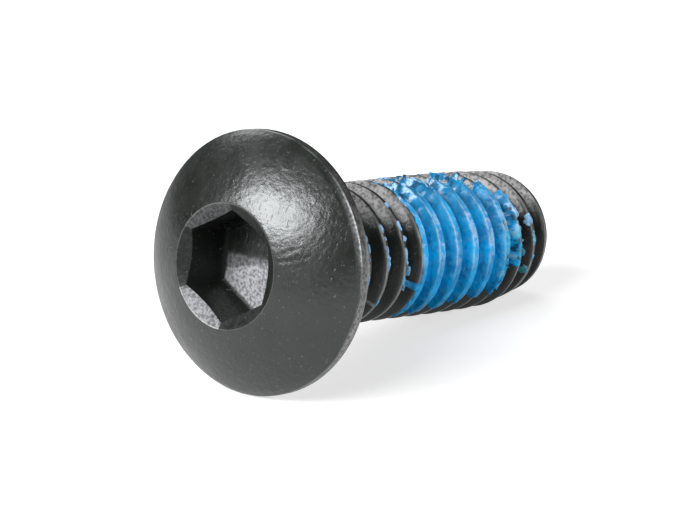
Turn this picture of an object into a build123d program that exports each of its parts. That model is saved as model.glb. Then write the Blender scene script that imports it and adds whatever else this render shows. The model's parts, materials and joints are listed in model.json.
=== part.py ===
from build123d import *
from math import atan2, ceil, cos, degrees, floor, hypot, radians, sin, sqrt, tan
import os

# A 1/4-20 UNC x 3/4 in button head socket screw with a thread-locking patch, in millimetres.
# The screw is made on its own axis first: +Z runs from the head to the tip, the bearing
# face under the head is at z = 0, and -X is the side that ends up on top. It is then laid
# down, where it rests on the rim of its head and on a crest of its thread near the tip.

# Head
head_diameter = 10.9
head_height = 2.45            # bearing face to the mouth of the socket
rim_height = 0.58             # straight wall between the bearing face and the dome
rim_edge = 0.1                # broken edges of the rim
underhead_taper = 0.25        # 45 degree cone between the bearing face and the shank

# Hexagon socket
socket_across_flats = 3.98
socket_mouth_diameter = 5.12
socket_mouth_angle = 120      # included angle of the countersink
socket_depth = 2.35           # mouth to floor
socket_turn = 1.4             # degrees from a corner pointing straight up

# Shank and thread
screw_length = 18.8           # bearing face to the tip
thread_diameter = 6.3
thread_pitch = 1.27           # 20 threads to the inch
thread_angle = 60
crest_flat = thread_pitch / 8
root_flat = thread_pitch / 6
first_crest = 0.41            # bearing face to the first crest, along the top side
runout_gap = 0.6              # bearing face to where the groove starts to sink in
runout_length = 1.3           # length over which it sinks to full depth
tool_relief = 0.05            # how far the thread tool stands clear of the crests
seam_turn = 90                # degrees from the underside to where each turn of the cut starts
lead_in_length = 4.1          # tip to where the crests start to shrink
lead_in_drop = 0.5            # how much they have shrunk where the point begins
point_length = 1.4
point_diameter = 3.6

# Thread-locking patch, a film of resin over part of the thread
patch_start = 7.1             # bearing face to the near end of the patch
patch_length = 7.4
patch_sweep = 160             # degrees round the shank
patch_centre = 90             # degrees from the top side to the middle of the patch
patch_over_crest = 0.05
patch_over_flank = 0.22       # measured square to the axis

head_radius = head_diameter / 2
mouth_radius = socket_mouth_diameter / 2
thread_radius = thread_diameter / 2
point_radius = point_diameter / 2
flank_slope = tan(radians(thread_angle / 2))
thread_depth = (thread_pitch - crest_flat - root_flat) / 2 / flank_slope
root_radius = thread_radius - thread_depth
lead_in_start = screw_length - lead_in_length
point_start = screw_length - point_length

# The dome is a sphere through the front edge of the rim and the mouth of the socket.
dome_centre = (
    (head_radius**2 - mouth_radius**2 + rim_height**2 - head_height**2)
    / 2 / (head_height - rim_height)
)
dome_radius = hypot(dome_centre + rim_height, head_radius)

from_base = (Align.CENTER, Align.CENTER, Align.MIN)
from_top = (Align.CENTER, Align.CENTER, Align.MAX)


def turned_blank():
    """The screw before socket and thread: head, dome, plain shank and tip."""
    mid_radius = (head_radius + mouth_radius) / 2
    mid_height = dome_centre - sqrt(dome_radius**2 - mid_radius**2)
    mouth = (mouth_radius, -head_height)
    rim_front = (head_radius, -rim_height)
    neck = (thread_radius, 0)
    with BuildSketch(Plane.XZ) as section:
        with BuildLine():
            ThreePointArc(mouth, (mid_radius, mid_height), rim_front)
            Polyline(
                rim_front,
                (head_radius, 0),
                neck,
                (thread_radius, lead_in_start),
                (thread_radius - lead_in_drop, point_start),
                (point_radius, screw_length),
                (0, screw_length),
                (0, -head_height),
                mouth,
            )
        make_face()
        chamfer(section.vertices().group_by(Axis.X)[-1], rim_edge)
        chamfer(section.vertices().sort_by_distance(neck)[0], underhead_taper)
    return revolve(section.sketch, Axis.Z)


def socket():
    """Countersunk hexagon socket with a corner near the top side."""
    countersink_depth = mouth_radius / tan(radians(socket_mouth_angle / 2))
    countersink = Cone(mouth_radius, 0, countersink_depth, align=from_base)
    hexagon = RegularPolygon(socket_across_flats / 2, 6, major_radius=False)
    well = extrude(hexagon, socket_depth)
    return Pos(0, 0, -head_height) * Rot(0, 0, socket_turn) * (countersink + well)


def groove_turns(near_end, far_end, root_width, shift=0):
    """The thread groove between two heights, one solid a turn, moved out by shift."""
    outer = thread_radius + shift + tool_relief
    root = thread_radius + shift - (thread_pitch - crest_flat - root_width) / 2 / flank_slope
    half_mouth = root_width / 2 + (outer - root) * flank_slope
    bottom = [(root, root_width / 2), (root, -root_width / 2)] if root_width else [(root, 0)]
    with BuildSketch(Plane.XZ) as section:
        with BuildLine():
            Polyline((outer, -half_mouth), (outer, half_mouth), *bottom, close=True)
        make_face()
    path = Helix(thread_pitch, thread_pitch, thread_radius)
    turn = Rot(0, 0, seam_turn) * sweep(section.sketch, path=path, is_frenet=True)
    # On the underside the groove lies level with the crests of the top side.
    level = first_crest + thread_pitch * seam_turn / 360
    first = floor((near_end - level) / thread_pitch) - 1
    last = ceil((far_end - level) / thread_pitch)
    return [Pos(0, 0, level + n * thread_pitch) * turn for n in range(first, last + 1)]


def runout():
    """What the groove leaves standing below the head: the plain neck and a cone it climbs."""
    neck = Cylinder(thread_radius + 2 * tool_relief, 3 * thread_pitch, align=from_top)
    climb = Cone(thread_radius, root_radius - tool_relief, runout_length, align=from_base)
    return Pos(0, 0, runout_gap) * (neck + climb)


def make_screw():
    """Head, socket and thread."""
    standing = runout()
    groove = []
    for turn in groove_turns(runout_gap, screw_length, root_flat):
        groove += (turn - standing).solids()
    return turned_blank() - socket() - groove


def make_locking_patch(screw):
    """The film of resin on one side of the thread, with a sharp hollow over each root."""
    with BuildSketch(Plane.XZ) as section:
        with Locations((0, patch_start)):
            Rectangle(
                thread_radius + patch_over_crest, patch_length, align=(Align.MIN, Align.MIN)
            )
    sector = revolve(section.sketch, Axis.Z, patch_sweep)
    top_side = 180
    sector = Rot(0, 0, top_side + patch_centre - patch_sweep / 2) * sector
    hollows = groove_turns(patch_start, patch_start + patch_length, 0, patch_over_flank)
    return sector - hollows - screw


def crest_radius(height):
    """Radius of the crests at a height: full, on the lead-in or on the point."""
    if height <= lead_in_start:
        return thread_radius
    if height <= point_start:
        return thread_radius - lead_in_drop * (height - lead_in_start) / (point_start - lead_in_start)
    return thread_radius - lead_in_drop - (
        (thread_radius - lead_in_drop - point_radius) * (height - point_start) / point_length
    )


def resting_tilt():
    """Angle between the axis and the floor, touching at the rim and at one lower crest."""
    crests = ceil(screw_length / thread_pitch)
    edges = [
        first_crest + (n + 0.5) * thread_pitch + side * crest_flat / 2
        for n in range(crests)
        for side in (-1, 1)
    ]
    return min(
        atan2(head_radius - crest_radius(height), height + rim_edge)
        for height in edges
        if height < screw_length
    )


def lying_down():
    """Placement on the floor, with the origin under the middle of the overall box."""
    tilt = resting_tilt()
    front = -head_height * cos(tilt) - mouth_radius * sin(tilt)
    back = screw_length * cos(tilt) + point_radius * sin(tilt)
    lift = head_radius * cos(tilt) - rim_edge * sin(tilt)
    return Pos(-(front + back) / 2, 0, lift) * Rot(0, 90 + degrees(tilt), 0)


def main():
    os.makedirs("parts", exist_ok=True)
    screw = make_screw()
    nodes = {"screw": screw, "locking_patch": make_locking_patch(screw)}
    for name, shape in nodes.items():
        export_step(lying_down() * shape, f"parts/{name}.step")


if __name__ == "__main__":
    main()
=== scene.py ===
import json
from math import ceil, cos, degrees, exp, floor, hypot, pi, radians, sin, sqrt, tan

import bmesh
import bpy
from mathutils import Matrix, Vector, noise


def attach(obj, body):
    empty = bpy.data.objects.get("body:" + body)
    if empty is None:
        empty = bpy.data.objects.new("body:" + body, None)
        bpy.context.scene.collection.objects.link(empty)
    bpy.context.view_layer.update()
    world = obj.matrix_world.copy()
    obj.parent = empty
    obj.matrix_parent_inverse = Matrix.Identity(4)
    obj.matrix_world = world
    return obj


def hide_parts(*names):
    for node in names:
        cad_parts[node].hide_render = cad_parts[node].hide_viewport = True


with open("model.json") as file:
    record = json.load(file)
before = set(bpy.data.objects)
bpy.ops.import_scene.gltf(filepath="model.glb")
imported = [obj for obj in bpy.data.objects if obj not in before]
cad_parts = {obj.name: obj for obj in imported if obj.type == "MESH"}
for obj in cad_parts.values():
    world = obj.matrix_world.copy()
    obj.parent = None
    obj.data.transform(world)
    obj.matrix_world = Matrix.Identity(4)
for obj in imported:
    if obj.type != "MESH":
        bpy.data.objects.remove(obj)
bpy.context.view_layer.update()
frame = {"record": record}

# The looks of a black button head screw with a patch of blue thread-locking resin. The
# steel is one mesh of rings round the head and rows along the thread's helix. The resin is
# thin closed shells laid over the thread. Both carry a paint layer that says where they
# are worn, pale or dirty and where light and shade are painted on, and their materials read it.

# Sizes in millimetres along the screw's own axis. s runs from the bearing face (0) towards
# the tip, r is the distance from the axis, and angles run from the top side towards the
# camera's side, in the direction in which the right-hand thread climbs to the tip.
MM = 0.001

# Head
HEAD_RADIUS = 5.45
HEAD_HEIGHT = 2.45              # bearing face to the mouth of the socket
RIM_HEIGHT = 0.58               # bearing face to where dome and wall would meet
RIM_ROUND = 0.12
RIM_FRONT = RIM_HEIGHT - 0.115  # where the straight wall meets the round of the front edge
DOME_END = HEAD_RADIUS - 0.16   # radius of the dome's last ring, before that round
NECK_ROUND = 0.25

# Socket
MOUTH_RADIUS = 2.56
MOUTH_ROUND = 0.05
COUNTERSINK_ANGLE = radians(120)
HEX_FLATS = 3.98
HEX_CORNER_ROUND = 0.08
HEX_EDGE_ROUND = 0.04
SOCKET_DEPTH = 2.35
SOCKET_FLOOR_ROUND = 0.28
SOCKET_TURN = radians(1.4)

# Shank and thread
LENGTH = 18.8
THREAD_RADIUS = 3.15
PITCH = 1.27
FLANK_SLOPE = tan(radians(30))
CREST_FLAT = PITCH / 8
ROOT_FLAT = PITCH / 6
THREAD_DEPTH = (PITCH - CREST_FLAT - ROOT_FLAT) / 2 / FLANK_SLOPE
FIRST_CREST = 0.41
FLANK_BLEND = 0.035             # how softly flanks run into the root
CREST_CROWN = 0.012             # how far a crest's corners lie below its middle
RUNOUT_GAP = 0.6
RUNOUT_LENGTH = 1.3
LEAD_IN_START = LENGTH - 4.1
LEAD_IN_DROP = 0.5
POINT_START = LENGTH - 1.4
POINT_RADIUS = 1.8
TIP_ROUND = 0.12
THREAD_START = RUNOUT_GAP - 0.12
THREAD_END = LENGTH - TIP_ROUND
SLIM_CRESTS = 0.1               # how much the rolled crests nearest the head fall short
SLIM_FROM = 6.0
SLIM_TO = 12.0
SWELL = 0.31                    # how much fuller the upper crests are near the point
SWELL_AT = 16.9
SWELL_WIDTH = 1.4

DOME_CENTRE = (
    (HEAD_RADIUS**2 - MOUTH_RADIUS**2 + RIM_HEIGHT**2 - HEAD_HEIGHT**2)
    / 2 / (HEAD_HEIGHT - RIM_HEIGHT)
)
DOME_RADIUS = hypot(DOME_CENTRE + RIM_HEIGHT, HEAD_RADIUS)

# Columns of vertices round the axis: a multiple of 12, so that some lie on the corners and
# on the middles of the flats of the hexagon.
COLUMNS = 276

# The screw's own frame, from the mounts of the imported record.
mounts = {mount["name"]: mount for mount in frame["record"]["mounts"]}
AXIS = Vector(mounts["threaded_shank"]["axis"]).normalized()
SIDE = Vector((0, -1, 0))
TOP = AXIS.cross(SIDE).normalized()
if TOP.z < 0:
    TOP = -TOP
BEARING = Vector(mounts["hex_socket"]["pos_m"]) + AXIS * HEAD_HEIGHT * MM


def place(s, r, angle):
    """World position of a point given along, away from and round the screw's axis."""
    return BEARING + (AXIS * s + (TOP * cos(angle) + SIDE * sin(angle)) * r) * MM


def clamp(value, low, high):
    """The value kept between low and high."""
    return max(low, min(high, value))


def smooth(value, low, high):
    """0 below low, 1 above high, and an S curve between."""
    t = clamp((value - low) / (high - low), 0, 1)
    return t * t * (3 - 2 * t)


def bell(value, centre, width):
    """1 at the centre, falling to nothing about two widths away."""
    return exp(-((value - centre) / width) ** 2)


def soft_min(a, b, blend):
    """The smaller of two values, rounded where they meet."""
    h = clamp(0.5 + 0.5 * (b - a) / blend, 0, 1)
    return b + (a - b) * h - blend * h * (1 - h)


def noise_at(s, angle, scale, seed):
    """Noise between about -1 and 1, fixed to the thread, with features 1/scale mm across."""
    around = THREAD_RADIUS * scale
    point = Vector((around * cos(angle), around * sin(angle), s * scale))
    return noise.noise(point + Vector((seed * 17.3, seed * 5.1, seed * 9.7)))


def arc(centre_s, centre_r, radius, start, end, steps):
    """Points (s, r) on an arc; angles in degrees from +s towards +r."""
    turns = [radians(start + (end - start) * i / steps) for i in range(steps + 1)]
    return [(centre_s + radius * cos(t), centre_r + radius * sin(t)) for t in turns]


def line(start, end, steps):
    """Points on a straight run, without its two ends."""
    return [
        tuple(a + (b - a) * i / steps for a, b in zip(start, end))
        for i in range(1, steps)
    ]


# ---------------------------------------------------------------- head

# Rings are counted from the middle of the socket's floor outwards.
FLOOR_RINGS = 10
FLOOR_ROUND_DEGREES = (0, 20, 45, 70, 90)
WALL_STEPS = 8
ROUND_SHARES = (0, 0.25, 0.5, 0.75, 1)
COUNTERSINK_STEPS = 3
# The first ring of the round above the wall, and the first rings that are painted as
# countersink, as lip and as dome.
EDGE_RING = FLOOR_RINGS + len(FLOOR_ROUND_DEGREES) + WALL_STEPS - 1
COUNTERSINK_RING = EDGE_RING + 3
LIP_RING = EDGE_RING + len(ROUND_SHARES) + COUNTERSINK_STEPS
DOME_RING = LIP_RING + 2
DOME_STEPS = 26
FRONT_ROUND_FROM = 143          # degrees, where the rim's front round leaves the dome
NECK_ROUND_DEGREES = (0, 20, 40, 60, 75, 90)


def hexagon_radius(angle):
    """Distance from the axis to the socket's wall, with slightly rounded corners."""
    sector = (angle - SOCKET_TURN) % radians(60)
    from_corner = min(sector, radians(60) - sector)
    flat = HEX_FLATS / 2 / cos(radians(30) - from_corner)
    centre = HEX_FLATS / sqrt(3) - HEX_CORNER_ROUND * 2 / sqrt(3)
    across = centre * sin(from_corner)
    if from_corner > radians(4) or across > HEX_CORNER_ROUND:
        return flat
    return min(flat, centre * cos(from_corner) + sqrt(HEX_CORNER_ROUND**2 - across**2))


def dome_height(r):
    """Place of the dome along the axis."""
    return DOME_CENTRE - sqrt(DOME_RADIUS**2 - r**2)


def socket_profile(angle):
    """Points (s, r) from the floor's middle up the wall and the countersink to the mouth."""
    wall = hexagon_radius(angle)
    half = COUNTERSINK_ANGLE / 2
    edge_s = -HEAD_HEIGHT + (MOUTH_RADIUS - wall) / tan(half)
    floor_s = -HEAD_HEIGHT + SOCKET_DEPTH
    flat = wall - SOCKET_FLOOR_ROUND
    points = [(floor_s, flat * n / (FLOOR_RINGS + 0.5)) for n in range(1, FLOOR_RINGS + 1)]
    points += [
        (floor_s - SOCKET_FLOOR_ROUND * (1 - cos(radians(a))),
         wall - SOCKET_FLOOR_ROUND * (1 - sin(radians(a))))
        for a in FLOOR_ROUND_DEGREES
    ]
    # The wall turns over a small round into the countersink.
    bottom = (edge_s + HEX_EDGE_ROUND * tan(half / 2), wall)
    points += line(points[-1], bottom, WALL_STEPS)
    points += [
        (bottom[0] - HEX_EDGE_ROUND * sin(half * t), wall + HEX_EDGE_ROUND * (1 - cos(half * t)))
        for t in ROUND_SHARES
    ]
    top = (-HEAD_HEIGHT + MOUTH_ROUND * cos(half), MOUTH_RADIUS - MOUTH_ROUND * sin(half))
    points += line(points[-1], top, COUNTERSINK_STEPS)
    # The lip is a curve from the countersink to the dome, pulled towards their corner.
    outer_r = MOUTH_RADIUS + MOUTH_ROUND
    corner = (-HEAD_HEIGHT, MOUTH_RADIUS)
    outer = (dome_height(outer_r), outer_r)
    for t in ROUND_SHARES:
        points.append(tuple(
            (1 - t) ** 2 * a + 2 * t * (1 - t) * b + t * t * c
            for a, b, c in zip(top, corner, outer)
        ))
    return points


def outside_profile():
    """Points (s, r) from the mouth over the dome and round the rim to the neck."""
    inner = MOUTH_RADIUS + MOUTH_ROUND
    width = DOME_END - inner
    radii = [inner + width * i / DOME_STEPS for i in range(1, DOME_STEPS + 1)]
    points = [(dome_height(r), r) for r in radii]
    # Rim: round the front edge, the straight wall and the back edge.
    points += arc(-RIM_FRONT, HEAD_RADIUS - RIM_ROUND, RIM_ROUND, FRONT_ROUND_FROM, 90, 5)
    points += line((-RIM_FRONT, HEAD_RADIUS), (-RIM_ROUND, HEAD_RADIUS), 3)
    points += arc(-RIM_ROUND, HEAD_RADIUS - RIM_ROUND, RIM_ROUND, 90, 0, 6)
    points += line((0, HEAD_RADIUS - RIM_ROUND), (0, THREAD_RADIUS + NECK_ROUND), 6)
    points += [
        (NECK_ROUND * (1 - cos(radians(a))), THREAD_RADIUS + NECK_ROUND * (1 - sin(radians(a))))
        for a in NECK_ROUND_DEGREES
    ]
    points.append((THREAD_START, THREAD_RADIUS))
    return points


# ---------------------------------------------------------------- thread

# Rows of each turn, as shares of the pitch from its crest: close at crest, corners and root.
ROW_PHASES = (
    0, 0.035, 0.0625, 0.09, 0.16, 0.25, 0.34, 0.40, 0.45, 0.5,
    0.55, 0.60, 0.66, 0.75, 0.84, 0.91, 0.9375, 0.965,
)


def outline(s, angle):
    """Radius of the crests: rising from the head, full, on the lead-in or on the point."""
    if s <= LEAD_IN_START:
        radius = THREAD_RADIUS - SLIM_CRESTS * (1 - smooth(s, SLIM_FROM, SLIM_TO))
    elif s <= POINT_START:
        share = (s - LEAD_IN_START) / (POINT_START - LEAD_IN_START)
        radius = THREAD_RADIUS - LEAD_IN_DROP * share
    else:
        share = (s - POINT_START) / (LENGTH - POINT_START)
        start = THREAD_RADIUS - LEAD_IN_DROP
        radius = start - (start - POINT_RADIUS) * share
    # The swell fades out towards the underside, where the crests touch the floor.
    return radius + SWELL * bell(s, SWELL_AT, SWELL_WIDTH) * (0.5 + 0.5 * cos(angle))


def thread_turn(s, angle):
    """Turns of the thread from its first crest; whole numbers lie on the crest."""
    return (s - FIRST_CREST) / PITCH - angle / (2 * pi)


def from_crest(s, angle):
    """Millimetres along the axis from the nearest crest, positive towards the tip."""
    return ((thread_turn(s, angle) + 0.5) % 1 - 0.5) * PITCH


def groove_depth(s, angle):
    """Depth below the crests, with the crest crowned and the corners rounded."""
    away = abs(from_crest(s, angle))
    flank = (away - CREST_FLAT / 2) / FLANK_SLOPE
    if flank <= 0:
        return CREST_CROWN * (away / (CREST_FLAT / 2)) ** 2
    return max(CREST_CROWN, soft_min(flank, THREAD_DEPTH, FLANK_BLEND))


def steel_radius(s, angle):
    """Radius of the thread's surface, with the run-out and the tip."""
    sunk = clamp((s - RUNOUT_GAP) / RUNOUT_LENGTH, 0, 1)
    runout = THREAD_RADIUS - THREAD_DEPTH * sunk
    full = THREAD_RADIUS - groove_depth(s, angle)
    return min(outline(s, angle), max(runout, full))


def helix_rows(low, high, phases):
    """Heights at angle 0 of rows that follow the thread and cover low to high."""
    first = floor((low - FIRST_CREST) / PITCH) - 1
    last = ceil((high - FIRST_CREST) / PITCH)
    return [FIRST_CREST + (k + phase) * PITCH for k in range(first, last + 1) for phase in phases]


# ---------------------------------------------------------------- meshes

SAME_POINT = 2e-7               # in metres: points closer than this become one
NO_LENGTH = 1e-7                # in metres: shorter edges are taken out


def new_object(name, verts, faces, paint, shaded_faces=(), body="root"):
    """A smooth mesh piece with its paint layer; faces given as painted shade take its second, darker
    material.
    """
    build = bmesh.new()
    layer = build.verts.layers.float_color.new("paint")
    made = []
    for vert, colour in zip(verts, paint):
        point = build.verts.new(vert)
        # Where the paint has no fourth channel, it is 1.
        point[layer] = (*colour, 1)[:4]
        made.append(point)
    for number, face in enumerate(faces):
        new_face = build.faces.new([made[i] for i in face])
        new_face.smooth = True
        new_face.material_index = int(number in shaded_faces)
    bmesh.ops.remove_doubles(build, verts=build.verts, dist=SAME_POINT)
    bmesh.ops.dissolve_degenerate(build, edges=build.edges, dist=NO_LENGTH)
    bmesh.ops.recalc_face_normals(build, faces=build.faces)
    mesh = bpy.data.meshes.new(name)
    build.to_mesh(mesh)
    build.free()
    obj = bpy.data.objects.new(name, mesh)
    bpy.context.scene.collection.objects.link(obj)
    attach(obj, body)
    return obj


def ring_faces(first, second, columns):
    """Quads between two rings of vertices that start at the given numbers."""
    return [
        (first + j, first + (j + 1) % columns, second + (j + 1) % columns, second + j)
        for j in range(columns)
    ]


def column_angle(j):
    """Angle of a column of vertices; the first one runs through a corner of the hexagon."""
    return SOCKET_TURN + 2 * pi * j / COLUMNS


# The paint layer's channels on steel: worn edges with painted glints, painted light that greys
# lit flanks, pale painted light and highlights, and, where it is given, the share of
# reflection that no painted shade dims, which is 1 elsewhere.
BARE = (0, 0, 0)

# On the socket's floor: heights above the axis between which the painted light, pale and grey,
# fades into painted shadow, and how much higher the pale light reaches for each millimetre to the side.
PALE_FADE = (-0.22, 0.1)
PALE_SLANT = 0.25
GREY_FADE = (0.0, 0.25)

# Over each side of the hexagon, from the top towards the camera: how much pale painted highlight
# the countersink has, and how worn its lip is, with a painted glint on the side that catches the light.
SIDE_PAINTED_LIGHT = (0.02, 0.0, 0.04, 0.55, 0.03, 0.16)
LIP_WEAR_AND_GLINT = (0.12, 0.12, 0.12, 0.82, 0.12, 0.12)

# Along the axis: where the rim's front edge, its wall and its back edge begin.
FRONT_RING = -0.568
FRONT_EDGE = -0.555
RIM_WALL = -0.495
BACK_EDGE = -0.13
BACK_EDGE_END = -0.05
RIM_INSIDE = HEAD_RADIUS - 0.1


def socket_floor_paint(r, angle):
    """Painted light on the floor: pale below a slanting line and grey up to a level one; above them,
    its painted shadow.
    """
    height = r * cos(angle)
    across = r * sin(angle)
    # Painted light below the shadow of the socket's upper wall.
    pale = 1 - smooth(height - PALE_SLANT * across, *PALE_FADE)
    grey = 1 - smooth(height, *GREY_FADE)
    return (0, 0, max(0.72 * pale, 0.28 * grey))


def countersink_paint(s, angle, ring):
    """The countersink is pale over some sides of the hexagon, a painted highlight with grain, and its
    lip is worn, with a painted glint on one side.
    """
    side = int((angle - SOCKET_TURN) % (2 * pi) / radians(60))
    # Painted highlight where the countersink faces the light.
    pale_painted_light = SIDE_PAINTED_LIGHT[side] * clamp(0.85 + 0.6 * noise_at(s, angle, 5, 16), 0.3, 1)
    return (LIP_WEAR_AND_GLINT[side] * (ring >= LIP_RING), 0, pale_painted_light)


def rim_paint(s, angle):
    """Painted highlights on the front edge up high and on the back edge towards the camera; painted
    light on the wall low down on the camera's side.
    """
    down = degrees(angle) % 360
    rough = noise_at(s, angle, 2, 17)
    # Painted highlight along the front edge, up high.
    if FRONT_RING < s < RIM_WALL:
        front_glint = clamp(1.5 * bell(down, 64, 15), 0, 1) * clamp(0.9 + 0.6 * rough, 0.5, 1)
        if s < FRONT_EDGE:
            return (0, 0, 0.35 * front_glint)
        return (clamp(0.12 + 0.3 * rough, 0, 1), 0, 1.1 * front_glint)
    if RIM_WALL <= s <= BACK_EDGE:
        # Painted light on the wall, low down on the camera's side.
        lit = 0.35 * bell(down, 80, 50) + bell(down, 120, 30)
        return (0, lit * clamp(0.85 + 0.6 * rough, 0, 1), 0)
    if BACK_EDGE < s < BACK_EDGE_END:
        # Painted highlight on the back edge, towards the camera.
        camera_side = smooth(down, 45, 75) * (1 - smooth(down, 150, 190))
        return ((0.55 + 0.5 * rough) * camera_side, 0, 0)
    return BARE


def head_paint(s, r, angle, ring):
    """Paint of the head's rings; the wall of the socket and the dome are bare."""
    if ring <= FLOOR_RINGS:
        return socket_floor_paint(r, angle)
    if COUNTERSINK_RING <= ring < DOME_RING:
        return countersink_paint(s, angle, ring)
    if r >= RIM_INSIDE:
        return rim_paint(s, angle)
    return BARE


RIPPLE_DEPTH = 0.006
RIPPLES_AT = 76                 # degrees
RIPPLES_WIDTH = 8               # degrees
RIPPLE_SPACING = 6.0            # degrees
RIPPLES_START = (2.62, 2.85)    # radii between which they rise, and then fade out
RIPPLES_STOP = (3.6, 4.1)
RIPPLES_MIDDLE = 3.3
RIPPLES_LEAN = 2                # degrees for each millimetre outwards


def ripple(r, angle):
    """Shallow folds in the dome beside the socket, running away from it."""
    off = degrees(angle) - RIPPLES_AT
    where = bell(off, 0, RIPPLES_WIDTH) * smooth(r, *RIPPLES_START) * (1 - smooth(r, *RIPPLES_STOP))
    wave = (off + RIPPLES_LEAN * (r - RIPPLES_MIDDLE)) / RIPPLE_SPACING
    return RIPPLE_DEPTH * where * (1 + cos(2 * pi * wave))


def head_mesh(verts, faces, paint):
    """Socket, dome, rim, bearing face and neck, as rings; returns the faces of the socket's wall and
    countersink, which take the darker material as painted shade.
    """
    inner = [socket_profile(column_angle(j)) for j in range(COLUMNS)]
    socket_rings = len(inner[0])
    centre = len(verts)
    verts.append(place(-HEAD_HEIGHT + SOCKET_DEPTH, 0, 0))
    paint.append(socket_floor_paint(0, 0))
    rings = [[column[k] for column in inner] for k in range(socket_rings)]
    rings += [[point] * COLUMNS for point in outside_profile()]
    first = len(verts)
    for k, ring in enumerate(rings):
        on_dome = socket_rings <= k < socket_rings + DOME_STEPS
        for j, (s, r) in enumerate(ring):
            angle = column_angle(j)
            sunk = ripple(r, angle) if on_dome else 0
            verts.append(place(s + sunk, r, angle))
            paint.append(head_paint(s, r, angle, k))
    faces.extend((centre, first + (j + 1) % COLUMNS, first + j) for j in range(COLUMNS))
    for k in range(len(rings) - 1):
        faces.extend(ring_faces(first + k * COLUMNS, first + (k + 1) * COLUMNS, COLUMNS))
    # The first band of faces is the fan in the floor's middle.
    return range((1 + FLOOR_RINGS) * COLUMNS, (1 + LIP_RING) * COLUMNS)


BURR_ANGLE = radians(125)
BURR_WIDTH = radians(1.2)
BURR_FROM = 4.2
BURR_TO = 5.05
BURR_FADE = 0.1
BURR_HEIGHT = 0.05


def burr(s, angle):
    """A thin lip of metal across one groove."""
    starts = smooth(s, BURR_FROM, BURR_FROM + BURR_FADE)
    stops = 1 - smooth(s, BURR_TO - BURR_FADE, BURR_TO)
    return starts * stops * bell(angle, BURR_ANGLE, BURR_WIDTH)


# Degrees from the top side between which each look of the thread sets in or fades out: the
# pale crest line, the painted light on upper flanks and the painted shade in lower grooves.
WEAR_AND_GLINT_START = (38, 62)
LIT_FROM = (-120, -70)
LIT_UNTIL = (38, 60)
GROOVE_SHADE_FROM = (50, 70)
GROOVE_SHADE_UNTIL = (112, 150)
LIT_ALONG = (1.5, 3.5)        # along the axis, where the painted light sets in
ROUGHNESS = 0.006


def thread_paint(s, angle):
    """Pale crest lines low on the camera's side, partly wear and partly painted glint; painted light on
    upper flanks facing the head; painted shade in lower grooves.
    """
    down = degrees((angle + pi) % (2 * pi) - pi)
    away = from_crest(s, angle)
    # The pale line, partly wear and partly a painted glint, moves across the crest, tipwards as it goes
    # down.
    line_at = -0.06 + 0.12 * smooth(down, 60, 140)
    crest = bell(away, line_at, 0.05) * (0.1 + 0.9 * smooth(down, *WEAR_AND_GLINT_START))
    crest_wear_and_glint = crest * clamp(0.7 + 0.7 * noise_at(s, angle, 2.2, 13), 0, 1)
    # Painted light: upper flanks grey where the light from above falls on them.
    lit = smooth(down, *LIT_FROM) * (1 - smooth(down, *LIT_UNTIL))
    painted_lit_grey = lit * clamp(0.85 + 0.5 * noise_at(s, angle, 1.1, 14), 0, 1)
    # Painted shade: no painted light deep in the groove or on the crest, where the shadow line runs.
    painted_lit_grey *= (1 - smooth(abs(away), 0.31, 0.39)) * (1 - smooth(away, -0.12, -0.05))
    # Painted shade: the reflection is dimmed in the lower grooves.
    groove_shade = smooth(down, *GROOVE_SHADE_FROM) * (1 - smooth(down, *GROOVE_SHADE_UNTIL))
    groove_shade *= smooth(abs(away), 0.09, 0.16)
    return (max(crest_wear_and_glint, 0.8 * burr(s, angle)), painted_lit_grey * smooth(s, *LIT_ALONG), 0, 1 - groove_shade)


def thread_mesh(verts, faces, paint):
    """The thread as rows that follow its helix, cut off square at both ends."""
    rows = helix_rows(THREAD_START, THREAD_END, ROW_PHASES)
    per_turn = len(ROW_PHASES)
    first = len(verts)
    for v in rows:
        for j in range(COLUMNS):
            angle = column_angle(j)
            s = clamp(v + PITCH * angle / (2 * pi), THREAD_START, THREAD_END)
            r = steel_radius(s, angle)
            if THREAD_START < s < THREAD_END:
                rough = ROUGHNESS * (noise_at(s, angle, 1.3, 1) + noise_at(s, angle, 4.5, 2))
                r = min(r + rough + BURR_HEIGHT * burr(s, angle), outline(s, angle))
            verts.append(place(s, r, angle))
            paint.append(thread_paint(s, angle))
    for i in range(len(rows) - 1):
        for j in range(COLUMNS):
            a = first + i * COLUMNS + j
            b = a + COLUMNS
            if j < COLUMNS - 1:
                faces.append((a, a + 1, b + 1, b))
            # The last column joins the first one, a turn of the thread further on.
            elif i + 1 + per_turn < len(rows):
                c = first + (i + per_turn) * COLUMNS
                faces.append((a, c, c + COLUMNS, b))


TIP_ROUND_DEGREES = (0, 22, 45, 68, 90)
TIP_RINGS = (0.8, 0.55, 0.3, 0.12)  # shares of the flat end's radius


def tip_mesh(verts, faces, paint):
    """The rounded edge of the point and its flat end."""
    flat = POINT_RADIUS - TIP_ROUND
    rings = [
        (THREAD_END + TIP_ROUND * sin(radians(a)), flat, cos(radians(a)))
        for a in TIP_ROUND_DEGREES
    ]
    rings += [(LENGTH, flat * share, 0) for share in TIP_RINGS]
    first = len(verts)
    for s, r, spread in rings:
        for j in range(COLUMNS):
            edge = outline(THREAD_END, column_angle(j))
            verts.append(place(s, r + (edge - flat) * spread, column_angle(j)))
            paint.append(BARE)
    for k in range(len(rings) - 1):
        faces.extend(ring_faces(first + k * COLUMNS, first + (k + 1) * COLUMNS, COLUMNS))
    centre = len(verts)
    verts.append(place(LENGTH, 0, 0))
    paint.append(BARE)
    last = first + (len(rings) - 1) * COLUMNS
    faces.extend((centre, last + j, last + (j + 1) % COLUMNS) for j in range(COLUMNS))


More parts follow.
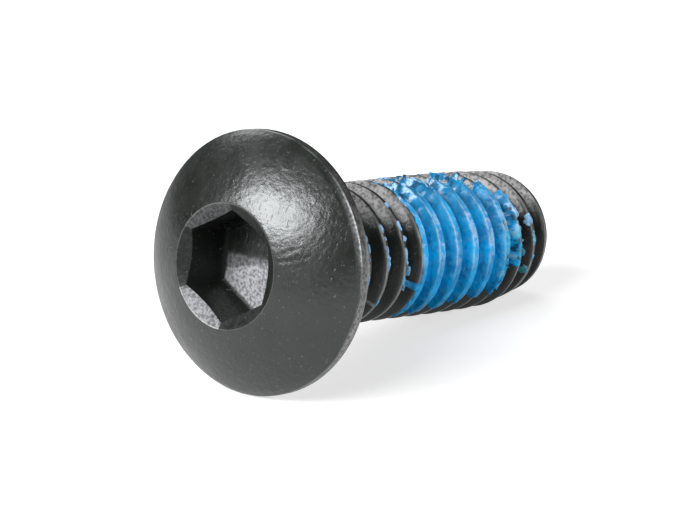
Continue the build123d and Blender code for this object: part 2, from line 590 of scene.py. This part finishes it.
def make_screw():
    """Head, thread and tip in one mesh."""
    verts, faces, paint = [], [], []
    socket_wall = head_mesh(verts, faces, paint)
    thread_mesh(verts, faces, paint)
    tip_mesh(verts, faces, paint)
    # Rows past the thread's ends lie on top of each other there and merge into one.
    screw = new_object("steel_screw", verts, faces, paint, socket_wall)
    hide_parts("screw")
    return screw


# ---------------------------------------------------------------- resin

# The resin lies between two crests, which are counted in turns of the thread. Its edges
# round the shank are in degrees from the top side.
NEAR_TURN = 5
FAR_TURN = 11
PATCH_TOP = 10
PATCH_LOW = 152
PATCH_LOW_RISE = 4.5            # how much higher the lower edge is for each turn tipwards
EDGE_WIDTH = 0.2                # in mm, for the near and the far edge
TOP_WIDTH = 22                  # in degrees, for the upper and the lower edge
LOW_WIDTH = 9
UPPER_RAGGED = (16, 42)         # where the ragged upper edge fades into the full film
UPPER_LOWERED = 16              # how much lower it reaches at the near end
TONGUE_AT = 111                 # a narrow tongue of resin in front of the near edge
TONGUE_HALF_WIDTH = 3.5
TONGUE_TURNS = 0.75
FRAYED_TURNS = (9.7, 10.1)      # where the torn far end sets in
FRAYED_DOWN = (20, 50)
FILM_OVER_CREST = 0.05          # thickness, measured square to the axis
FILM_OVER_FLANK = 0.17
FILM_MOST = 0.5
FILM_SINK = 0.06                # how far the outer skin dips into bare steel
LEDGE = 0.41                    # how far the film's flat top reaches past the crest, tipwards
LEDGE_RISE = 0.23               # how much it fills up behind the crest
FILM_INSIDE = -0.09             # how deep in the steel the shells have their inner skin
FILM_UNDER = -0.03              # faces whose outer skin is deeper than this are left out
SKIN_FROM = -0.4                # least cover for which points are made
FILM_NEAR = 2.6                 # along the axis, the reach of patch and flecks
FILM_FAR = 16.8
FILM_FROM = radians(-62)
FILM_TO = radians(172)
FILM_COLUMNS = 270
# Rows of each turn, from the crest: close at the crest, where the film's lines are.
FILM_ROWS = [x / PITCH for x in (
    -0.60, -0.52, -0.44, -0.36, -0.29, -0.23, -0.18, -0.14, -0.105, -0.075, -0.05, -0.025,
    0.0, 0.04, 0.09, 0.14, 0.19, 0.24, 0.29, 0.33, 0.36, 0.39, 0.44, 0.51,
)]

# Small flecks on bare crests: turn of the thread, degrees, half length and half width in mm.
FLECKS = (
    (2.00, 66, 0.16, 0.06), (2.02, 75, 0.26, 0.05), (2.00, 83, 0.10, 0.05), (2.02, 99, 0.24, 0.06),
    (3.00, 59, 0.17, 0.08), (3.02, 68, 0.10, 0.04), (3.02, 78, 0.20, 0.06), (3.06, 87, 0.36, 0.08),
    (3.02, 122, 0.20, 0.06), (4.00, 39, 0.16, 0.09), (4.02, 59, 0.24, 0.09), (4.08, 69, 0.16, 0.10),
    (4.05, 82, 0.36, 0.07), (4.10, 89, 0.14, 0.06), (4.30, 97, 0.30, 0.10), (4.04, 104, 0.28, 0.07),
    (11.92, 64, 0.26, 0.17), (12.00, 82, 0.34, 0.12), (11.80, 111, 0.20, 0.14), (12.03, 98, 0.12, 0.05),
    (11.60, 50, 0.12, 0.08), (11.24, 91, 0.30, 0.20), (10.42, 107, 0.28, 0.40),
)
# Places in the patch where it has broken away, in the same terms.
HOLES = ((10.50, 50, 0.34, 0.13), (10.37, 75.5, 0.26, 0.18), (9.78, 19, 0.22, 0.60))


def upper_edge(turn, down):
    """1 on the ragged upper edge of the patch, which reaches lower at the near end."""
    lower = UPPER_LOWERED * (1 - smooth(turn, NEAR_TURN + 0.5, NEAR_TURN + 1.5))
    return 1 - smooth(down - lower, *UPPER_RAGGED)


def spot_cover(spots, turn, down):
    """Above 0 within one of the spots, highest in its middle."""
    cover = -1
    for spot_turn, spot_down, length, width in spots:
        along = radians(down - spot_down) * THREAD_RADIUS / length
        across = (turn - spot_turn) * PITCH / width
        if abs(along) < 2 and abs(across) < 2:
            cover = max(cover, 0.75 * (1 - hypot(along, across)))
    return cover


def streak_at(s, angle, seed):
    """Noise with features about 0.25 mm along the axis and 0.4 mm round it."""
    return noise.noise(Vector((s * 4.2, THREAD_RADIUS * angle * 2.6, seed)))


def fray_zone(turn, down):
    """1 where the patch is torn at its far end."""
    return smooth(turn, *FRAYED_TURNS) * smooth(down, *FRAYED_DOWN)


def resin_cover(s, angle):
    """How fully resin covers a place: 0 or less is bare steel, 1 is the full film."""
    turn = thread_turn(s, angle)
    down = degrees(angle)
    upper = upper_edge(turn, down)
    frays = fray_zone(turn, down)
    # How far inside the patch's smooth edges the place lies. The far edge falls back high
    # up and low down.
    far_turn = FAR_TURN + 0.04 - 0.9 * upper - 0.6 * smooth(down, 97, 113)
    near = (turn - NEAR_TURN) * PITCH / EDGE_WIDTH
    tongue_reach = (turn - NEAR_TURN + TONGUE_TURNS) * PITCH / 0.3
    tongue = min(tongue_reach, (TONGUE_HALF_WIDTH - abs(down - TONGUE_AT)) / 3)
    far = (far_turn - turn) * PITCH / EDGE_WIDTH
    high = (down - PATCH_TOP) / TOP_WIDTH
    low = (PATCH_LOW - PATCH_LOW_RISE * (turn - NEAR_TURN) - down) / LOW_WIDTH
    inside = clamp(min(max(near, tongue), far, high, low), -2.5, 1.2)
    # Noise makes the edges ragged, most of all the upper and the torn one.
    blotch = noise_at(s, angle, 0.9, 3) + 0.6 * noise_at(s, angle, 2.4, 4)
    fine = noise_at(s, angle, 5.0, 5)
    finer = noise_at(s, angle, 9.0, 19)
    ragged = (0.35 + 0.9 * upper + 0.5 * frays) * blotch + (0.3 + 0.4 * upper + 0.4 * frays) * fine
    torn = (0.25 + 1.3 * upper + 1.0 * frays) * streak_at(s, angle, 33)
    streaks = smooth(down, 100, 150) * max(0, -noise.noise(Vector((turn * 5, down * 0.04, 7))))
    patch = inside + ragged + torn - 1.3 * streaks - 4 * max(0, spot_cover(HOLES, turn, down))
    return max(patch, spot_cover(FLECKS, turn, down) + 0.45 * fine + 0.35 * finer)


def resin_thickness(s, angle, cover):
    """Thickness of the resin; below 0 its skin is under the steel."""
    steel = steel_radius(s, angle)
    away = from_crest(s, angle)
    down = degrees(angle)
    turn = thread_turn(s, angle)
    ledge = LEDGE + 0.08 * noise_at(s, angle, 2.5, 20)
    behind = LEDGE_RISE * smooth(away, 0.05, 0.3) * (1 - smooth(away, ledge, ledge + 0.1))
    top = soft_min(outline(s, angle) + FILM_OVER_CREST, steel + FILM_OVER_FLANK + behind, 0.03)
    loose = max(upper_edge(turn, down), 0.6 * fray_zone(turn, down))
    lumps = loose * 0.06 * smooth(noise_at(s, angle, 1.7, 6), 0.0, 0.45)
    grit = 0.018 * noise_at(s, angle, 4.0, 8) + 0.03 * loose * streak_at(s, angle, 34)
    full = top - steel + lumps + grit
    sunk = FILM_SINK * (1 - smooth(cover, -0.3, 0.0))
    return clamp(full * smooth(cover, -0.02, 0.3) - sunk, -FILM_SINK, FILM_MOST)


def resin_pale(s, angle):
    """Pale resin: lines at both edges of the ledge, partly wear and partly painted highlight, a painted
    highlight on the ledge, painted glints and flecks.
    """
    turn = thread_turn(s, angle)
    down = degrees(angle)
    away = from_crest(s, angle)
    upper = upper_edge(turn, down)
    fine = noise_at(s, angle, 4.0, 9)
    finer = noise_at(s, angle, 8.0, 21)
    broad = noise_at(s, angle, 1.4, 10)
    # A band of painted highlight between these angles.
    shine = smooth(down, 44, 58) * (1 - smooth(down, 76, 104))
    # Lines at both edges of the ledge: partly wear, partly painted highlight.
    crest_line = bell(away, -0.08, 0.06) * (1 - smooth(down, 92, 116))
    ledge_line = bell(away, LEDGE, 0.06) * smooth(down, 30, 50) * (0.8 + 0.2 * smooth(down, 90, 110))
    lines = max(crest_line, ledge_line) * (0.6 + 0.4 * shine)
    edge = lines * clamp(1.1 + 0.9 * fine + 0.6 * finer, 0, 1.3) * smooth(down, 24, 48)
    # Painted highlight on the ledge.
    on_ledge = smooth(away, -0.07, -0.01) * (1 - smooth(away, LEDGE - 0.04, LEDGE + 0.03))
    grain = smooth(0.7 * broad + 0.8 * fine + 0.6 * finer, -0.1, 0.35)
    ledge_highlight = on_ledge * (0.1 + 0.75 * shine * grain) * (1 - upper)
    # Painted glints on the ragged upper edge and the torn end.
    streak = smooth(streak_at(s, angle, 35) + 0.5 * finer, 0.14, 0.26)
    glints = max(upper, 0.8 * fray_zone(turn, down)) * streak
    flecks = 0.7 * (1 - smooth(turn, 4.4, 4.9)) + 0.7 * smooth(turn, 11.1, 11.4)
    return clamp(max(edge, ledge_highlight, glints, flecks) + 0.06 * fine, 0, 1)


def resin_dirt_and_shade(s, angle, cover):
    """Darker low down; painted shade on flanks facing the head and on the upper side; dirt where the
    film is thin or torn.
    """
    turn = thread_turn(s, angle)
    down = degrees(angle)
    away = from_crest(s, angle)
    low = smooth(down, 106, 130) * clamp(0.1 + 0.6 * noise_at(s, angle, 1.4, 10), 0, 1)
    # Painted shade on flanks facing the head, less low down.
    facing = 0.55 * smooth(away, -0.52, -0.22) * (1 - smooth(away, -0.14, -0.08))
    facing *= 1 - 0.55 * smooth(down, 60, 86)
    shaded = 0.5 * (1 - smooth(down, 25, 60))
    thin = 0.5 * (1 - smooth(cover, 0.02, 0.22))
    streak = smooth(0.5 * noise_at(s, angle, 8.0, 21) - streak_at(s, angle, 35), 0.08, 0.22)
    stained = max(upper_edge(turn, down), fray_zone(turn, down)) * streak
    return max(low, clamp(facing + shaded, 0, 0.65), thin, stained)


def resin_turquoise(s, angle):
    """Turquoise at the torn end and on the camera's lower side."""
    down = degrees(angle)
    torn = fray_zone(thread_turn(s, angle), down) * smooth(down, 60, 80)
    torn *= 0.7 + 0.5 * noise_at(s, angle, 4.0, 9)
    return clamp(max(torn, 0.45 * smooth(down, 88, 112)), 0, 1)


def make_resin():
    """The patch and its flecks as thin closed shells over the thread, with ragged edges."""
    rows = helix_rows(FILM_NEAR, FILM_FAR, FILM_ROWS)
    sweep = FILM_TO - FILM_FROM
    angles = [FILM_FROM + sweep * j / FILM_COLUMNS for j in range(FILM_COLUMNS + 1)]
    skin = {}
    for i, v in enumerate(rows):
        for j, angle in enumerate(angles):
            s = v + PITCH * angle / (2 * pi)
            if not FILM_NEAR < s < FILM_FAR:
                continue
            cover = resin_cover(s, angle)
            if cover > SKIN_FROM:
                skin[i, j] = (s, angle, cover, resin_thickness(s, angle, cover))
    verts, faces, paint = [], [], []
    outer, inner = {}, {}

    def vertex(store, key):
        """Number of a corner's vertex on the outer or inner skin, made when first asked for."""
        if key not in store:
            s, angle, cover, thickness = skin[key]
            store[key] = len(verts)
            lift = thickness if store is outer else FILM_INSIDE
            verts.append(place(s, steel_radius(s, angle) + lift, angle))
            dirt_and_shade = resin_dirt_and_shade(s, angle, cover)
            paint.append((resin_pale(s, angle), dirt_and_shade, resin_turquoise(s, angle)))
        return store[key]

    kept = set()
    for i in range(len(rows) - 1):
        for j in range(FILM_COLUMNS):
            corners = ((i, j), (i, j + 1), (i + 1, j + 1), (i + 1, j))
            if not all(c in skin for c in corners):
                continue
            if max(skin[c][3] for c in corners) > FILM_UNDER:
                kept.add((i, j))
                faces.append(tuple(vertex(outer, c) for c in corners))
                faces.append(tuple(vertex(inner, c) for c in reversed(corners)))
    # The two skins are joined along the patch's border.
    for i, j in kept:
        sides = (
            ((i, j), (i, j + 1), (i - 1, j)),
            ((i, j + 1), (i + 1, j + 1), (i, j + 1)),
            ((i + 1, j + 1), (i + 1, j), (i + 1, j)),
            ((i + 1, j), (i, j), (i, j - 1)),
        )
        for a, b, neighbour in sides:
            if neighbour not in kept:
                faces.append((outer[b], outer[a], inner[a], inner[b]))
    resin = new_object("resin_patch", verts, faces, paint)
    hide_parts("locking_patch")
    return resin


# ---------------------------------------------------------------- materials


class Material:
    """A node material on one object, with short calls for the nodes used here."""

    def __init__(self, name):
        self.material = bpy.data.materials.new(name)
        self.material.use_nodes = True
        self.tree = self.material.node_tree
        self.shader = self.tree.nodes["Principled BSDF"]
        self.place = self.tree.nodes.new("ShaderNodeTexCoord").outputs["Object"]

    def node(self, kind, **settings):
        """A shader node of a kind, with its settings."""
        made = self.tree.nodes.new("ShaderNode" + kind)
        for name, value in settings.items():
            setattr(made, name, value)
        return made

    def link(self, source, target):
        """From an output to an input."""
        self.tree.links.new(source, target)

    def paint(self):
        """The four channels of the mesh's paint layer."""
        layer = self.node("Attribute", attribute_name="paint")
        split = self.node("SeparateColor")
        self.link(layer.outputs["Color"], split.inputs[0])
        return (*split.outputs, layer.outputs["Alpha"])

    def noise(self, size_mm, detail, stretch=None, turned=None):
        """Noise between 0 and 1 with features of about the given size."""
        made = self.node("TexNoise")
        made.inputs["Scale"].default_value = 1 / (size_mm * MM)
        made.inputs["Detail"].default_value = detail
        where = self.place
        if stretch:
            mapping = self.node("Mapping")
            mapping.inputs["Scale"].default_value = stretch
            mapping.inputs["Rotation"].default_value = turned
            self.link(where, mapping.inputs["Vector"])
            where = mapping.outputs["Vector"]
        self.link(where, made.inputs["Vector"])
        return made.outputs["Fac"]

    def ramp(self, value, low, high, start=0.0, end=1.0):
        """An S curve from start at low to end at high."""
        made = self.node("MapRange", interpolation_type="SMOOTHSTEP")
        made.inputs["From Min"].default_value = low
        made.inputs["From Max"].default_value = high
        made.inputs["To Min"].default_value = start
        made.inputs["To Max"].default_value = end
        self.link(value, made.inputs["Value"])
        return made.outputs["Result"]

    def math(self, operation, first, second):
        """Two numbers, or number outputs, kept between 0 and 1."""
        made = self.node("Math", operation=operation, use_clamp=True)
        for socket, value in zip(made.inputs, (first, second)):
            if isinstance(value, float):
                socket.default_value = value
            else:
                self.link(value, socket)
        return made.outputs[0]

    def mix(self, share, first, second):
        """Two colours, or colour outputs, mixed by a share."""
        made = self.node("Mix", data_type="RGBA")
        self.link(share, made.inputs[0])
        for socket, value in zip(made.inputs[6:8], (first, second)):
            if isinstance(value, tuple):
                socket.default_value = (*value, 1)
            else:
                self.link(value, socket)
        return made.outputs[2]

    def bump(self, height, depth_mm, under=None):
        """A height field over the surface, or over the bump under it."""
        made = self.node("Bump")
        made.inputs["Strength"].default_value = 1.0
        made.inputs["Distance"].default_value = depth_mm * MM
        self.link(height, made.inputs["Height"])
        if under:
            self.link(under, made.inputs["Normal"])
        return made.outputs["Normal"]

    def finish(self, colour, roughness, normal):
        """The material, with these outputs on its shader."""
        self.link(colour, self.shader.inputs["Base Color"])
        self.link(roughness, self.shader.inputs["Roughness"])
        self.link(normal, self.shader.inputs["Normal"])
        return self.material


OXIDE_DARK = (0.006, 0.0075, 0.006)
OXIDE_LIGHT = (0.016, 0.0195, 0.0165)
OXIDE_IOR = 1.65
OXIDE_TINT = (0.955, 0.985, 1.0)
# Specular tint where shade is painted into the grooves.
GROOVE_SHADE_TINT = (0.34, 0.36, 0.36)
# Socket wall and countersink reflect less: painted shade in the recess.
SOCKET_SHADE_IOR = 1.2
# Worn edges and painted glints.
WORN_AND_GLINT_EDGE = (0.36, 0.36, 0.33)
# Painted light: grey where the flanks and the rim's wall are lit.
LIT_FLANK_GREY = (0.29, 0.28, 0.285)
# Pale painted light and highlights.
PALE_PAINTED_LIGHT = (0.50, 0.50, 0.53)
SPECK = (0.10, 0.10, 0.10)
SCRATCH_STRETCH = (1, 14, 2)
SCRATCH_TURN = (0.5, 0.3, 0.9)


def steel_material(name, gloss):
    """Satin black oxide: fine grain, scratches, light specks, worn edges with painted glints, painted
    light, pale painted highlights and painted shade in the grooves.
    """
    m = Material(name)
    m.shader.inputs["IOR"].default_value = gloss
    wear_and_glints, painted_lit_grey, pale_painted_light, unshaded_reflection = m.paint()
    # Painted shade: the reflection is dimmed in the grooves.
    m.link(m.mix(unshaded_reflection, GROOVE_SHADE_TINT, OXIDE_TINT), m.shader.inputs["Specular Tint"])
    cloud = m.noise(size_mm=1.3, detail=5)
    grain = m.noise(size_mm=0.13, detail=3)
    mottle = m.ramp(m.noise(size_mm=0.15, detail=4), 0.36, 0.58, 0.2, 1.0)
    specks = m.ramp(m.noise(size_mm=0.12, detail=1), 0.69, 0.79)
    colour = m.mix(cloud, OXIDE_DARK, OXIDE_LIGHT)
    # Painted light on lit flanks and on the rim's wall.
    colour = m.mix(m.math("MULTIPLY", painted_lit_grey, mottle), colour, LIT_FLANK_GREY)
    # Pale painted light and highlights, with grain.
    pale_painted_light = m.math("MULTIPLY", pale_painted_light, m.ramp(grain, 0.36, 0.6, 0.4, 1.0))
    colour = m.mix(pale_painted_light, colour, PALE_PAINTED_LIGHT)
    # Wear and painted glints on crests, lip and rim edges; wear on the burr.
    wear_and_glints = m.math("MULTIPLY", wear_and_glints, m.ramp(grain, 0.3, 0.6, 0.5, 1.0))
    colour = m.mix(wear_and_glints, colour, WORN_AND_GLINT_EDGE)
    colour = m.mix(specks, colour, SPECK)
    rough = m.ramp(cloud, 0.3, 0.7, 0.27, 0.36)
    rough = m.math("ADD", rough, m.math("MULTIPLY", painted_lit_grey, 0.2))
    dimples = m.bump(m.noise(size_mm=0.3, detail=4), depth_mm=0.024)
    fine = m.bump(grain, depth_mm=0.008, under=dimples)
    scratches = m.noise(size_mm=0.9, detail=2, stretch=SCRATCH_STRETCH, turned=SCRATCH_TURN)
    normal = m.bump(m.ramp(scratches, 0.66, 0.7), depth_mm=0.006, under=fine)
    return m.finish(colour, rough, normal)


RESIN_IOR = 1.12
RESIN_DEEP = (0.0, 0.25, 0.60)
RESIN_BRIGHT = (0.0, 0.46, 0.98)
RESIN_MILKY = (0.06, 0.43, 0.78)
# Pale wear and painted highlights.
RESIN_PALE = (0.44, 0.63, 0.86)
# Dirt and painted shade.
RESIN_DIRT_AND_SHADE = (0.010, 0.035, 0.060)
RESIN_TURQUOISE = (0.10, 0.50, 0.56)


def resin_material():
    """Dry blue thread-locking resin, pale where it is worn and with painted highlights, darker with
    dirt and painted shade.
    """
    m = Material("blue_resin")
    m.shader.inputs["IOR"].default_value = RESIN_IOR
    pale, dirt_and_shade, turquoise, _ = m.paint()
    cloud = m.ramp(m.noise(size_mm=0.9, detail=4), 0.38, 0.62)
    milk = m.ramp(m.noise(size_mm=0.3, detail=5), 0.46, 0.62, 0.0, 0.5)
    speckle = m.ramp(m.noise(size_mm=0.1, detail=3), 0.3, 0.62, 0.45, 1.0)
    colour = m.mix(cloud, RESIN_DEEP, RESIN_BRIGHT)
    colour = m.mix(milk, colour, RESIN_MILKY)
    # Dirt and painted shade darken the film.
    colour = m.mix(m.math("MULTIPLY", dirt_and_shade, 0.9), colour, RESIN_DIRT_AND_SHADE)
    light = m.mix(turquoise, RESIN_PALE, RESIN_TURQUOISE)
    # Pale wear and painted highlights, tinted turquoise low down.
    colour = m.mix(m.math("MULTIPLY", pale, speckle), colour, light)
    rough = m.ramp(pale, 0.1, 0.8, 0.3, 0.55)
    soft = m.bump(m.noise(size_mm=0.3, detail=3), depth_mm=0.08)
    normal = m.bump(m.noise(size_mm=0.09, detail=2), depth_mm=0.02, under=soft)
    return m.finish(colour, rough, normal)


# The floor, in metres. Its glow is seen by the camera and, close to the screw, in
# reflections. It lights nothing.
FLOOR_SIZE = 1.2
FLOOR_COLOUR = (0.55, 0.55, 0.55)
FLOOR_ROUGHNESS = 0.9
FLOOR_SHINE = 0.1
FLOOR_GLOW = 0.62
MIRRORED_GLOW = 0.6             # share of the glow that reflections see
GLOW_CENTRE = (-0.016, -0.004, 0)
NEAR_FLOOR = 0.015              # radii between which the mirrored glow fades out
FAR_FLOOR = 0.045


def make_floor():
    """A pale floor, which the camera sees nearly white around the shadow."""
    half = FLOOR_SIZE / 2
    corners = [(-half, -half, 0), (half, -half, 0), (half, half, 0), (-half, half, 0)]
    mesh = bpy.data.meshes.new("floor")
    mesh.from_pydata(corners, [], [(0, 1, 2, 3)])
    floor_plane = bpy.data.objects.new("floor", mesh)
    bpy.context.scene.collection.objects.link(floor_plane)
    m = Material("pale_floor")
    m.shader.inputs["Base Color"].default_value = (*FLOOR_COLOUR, 1)
    m.shader.inputs["Roughness"].default_value = FLOOR_ROUGHNESS
    m.shader.inputs["Specular IOR Level"].default_value = FLOOR_SHINE
    path = m.node("LightPath")
    away = m.node("VectorMath", operation="DISTANCE")
    away.inputs[1].default_value = GLOW_CENTRE
    m.link(m.place, away.inputs[0])
    near = m.ramp(away.outputs["Value"], NEAR_FLOOR, FAR_FLOOR, MIRRORED_GLOW, 0.0)
    mirrored = m.math("MULTIPLY", path.outputs["Is Glossy Ray"], near)
    seen = m.math("MAXIMUM", path.outputs["Is Camera Ray"], mirrored)
    m.shader.inputs["Emission Color"].default_value = (1, 1, 1, 1)
    m.link(m.math("MULTIPLY", seen, FLOOR_GLOW), m.shader.inputs["Emission Strength"])
    mesh.materials.append(m.material)


# ---------------------------------------------------------------- light and camera

STUDIO_LIGHT = 0.07


def make_world():
    """A dim studio, white and even all round."""
    world = bpy.data.worlds.new("studio")
    bpy.context.scene.world = world
    world.use_nodes = True
    background = world.node_tree.nodes["Background"]
    background.inputs["Color"].default_value = (1, 1, 1, 1)
    background.inputs["Strength"].default_value = STUDIO_LIGHT


# The camera is fitted to the photo. Its place is given by where it sees the middle of the
# bearing face, in millimetres.
CAMERA_PIXELS = 700
CAMERA_FOCAL_PIXELS = 2218
SENSOR_WIDTH = 36
NEAREST_SEEN = 0.001
CAMERA_ELEVATION = radians(16.26)
CAMERA_HEADING = radians(37.41)
BEARING_LEFT = 3.57
BEARING_UP = 0.012
BEARING_FORWARD = 90.54


def camera_axes():
    """The camera's directions: forward, right and up."""
    forward = Vector((
        cos(CAMERA_ELEVATION) * cos(CAMERA_HEADING),
        cos(CAMERA_ELEVATION) * sin(CAMERA_HEADING),
        -sin(CAMERA_ELEVATION),
    ))
    right = Vector((sin(CAMERA_HEADING), -cos(CAMERA_HEADING), 0))
    return forward, right, right.cross(forward)


def make_camera():
    """The camera, looking down on the screw from the front of its head."""
    forward, right, up = camera_axes()
    data = bpy.data.cameras.new("camera")
    data.sensor_width = SENSOR_WIDTH
    data.lens = CAMERA_FOCAL_PIXELS * data.sensor_width / CAMERA_PIXELS
    data.clip_start = NEAREST_SEEN
    camera = bpy.data.objects.new("camera", data)
    bpy.context.scene.collection.objects.link(camera)
    place_at = BEARING + (right * BEARING_LEFT - up * BEARING_UP - forward * BEARING_FORWARD) * MM
    rotation = Matrix((right, up, -forward)).transposed().to_4x4()
    camera.matrix_world = Matrix.Translation(place_at) @ rotation
    bpy.context.scene.camera = camera


LAMPS_AIM = 0.35 * LENGTH       # along the axis

# Softboxes: direction from the screw (right, up and towards the camera), distance, width
# and height in metres, and power in watts.
SOFTBOXES = {
    "key": ((-0.58, 0.41, 0.71), 0.30, 0.25, 0.13, 1.6),
    "fill": ((0.80, 0.22, 0.50), 0.40, 0.26, 0.26, 0.85),
    "back": ((-0.25, 0.80, -0.45), 0.35, 0.26, 0.14, 0.4),
}


def make_softboxes():
    """Rectangular lamps that all point at one place on the shank."""
    forward, right, up = camera_axes()
    aim = BEARING + AXIS * LAMPS_AIM * MM
    for name, (direction, distance, width, height, power) in SOFTBOXES.items():
        data = bpy.data.lights.new(name, "AREA")
        data.shape = "RECTANGLE"
        data.size = width
        data.size_y = height
        data.energy = power
        lamp = bpy.data.objects.new(name, data)
        bpy.context.scene.collection.objects.link(lamp)
        across, above, nearer = direction
        towards = (right * across + up * above - forward * nearer).normalized()
        turn = (-towards).to_track_quat("-Z", "Y").to_matrix().to_4x4()
        lamp.matrix_world = Matrix.Translation(aim + towards * distance) @ turn


screw = make_screw()
screw.data.materials.append(steel_material("black_oxide", OXIDE_IOR))
# The socket's wall and countersink: painted shade.
screw.data.materials.append(steel_material("socket_wall_painted_shade", SOCKET_SHADE_IOR))
resin = make_resin()
resin.data.materials.append(resin_material())
make_floor()
make_world()
make_softboxes()
make_camera()
bpy.context.scene.view_settings.view_transform = "Standard"

bpy.context.view_layer.update()
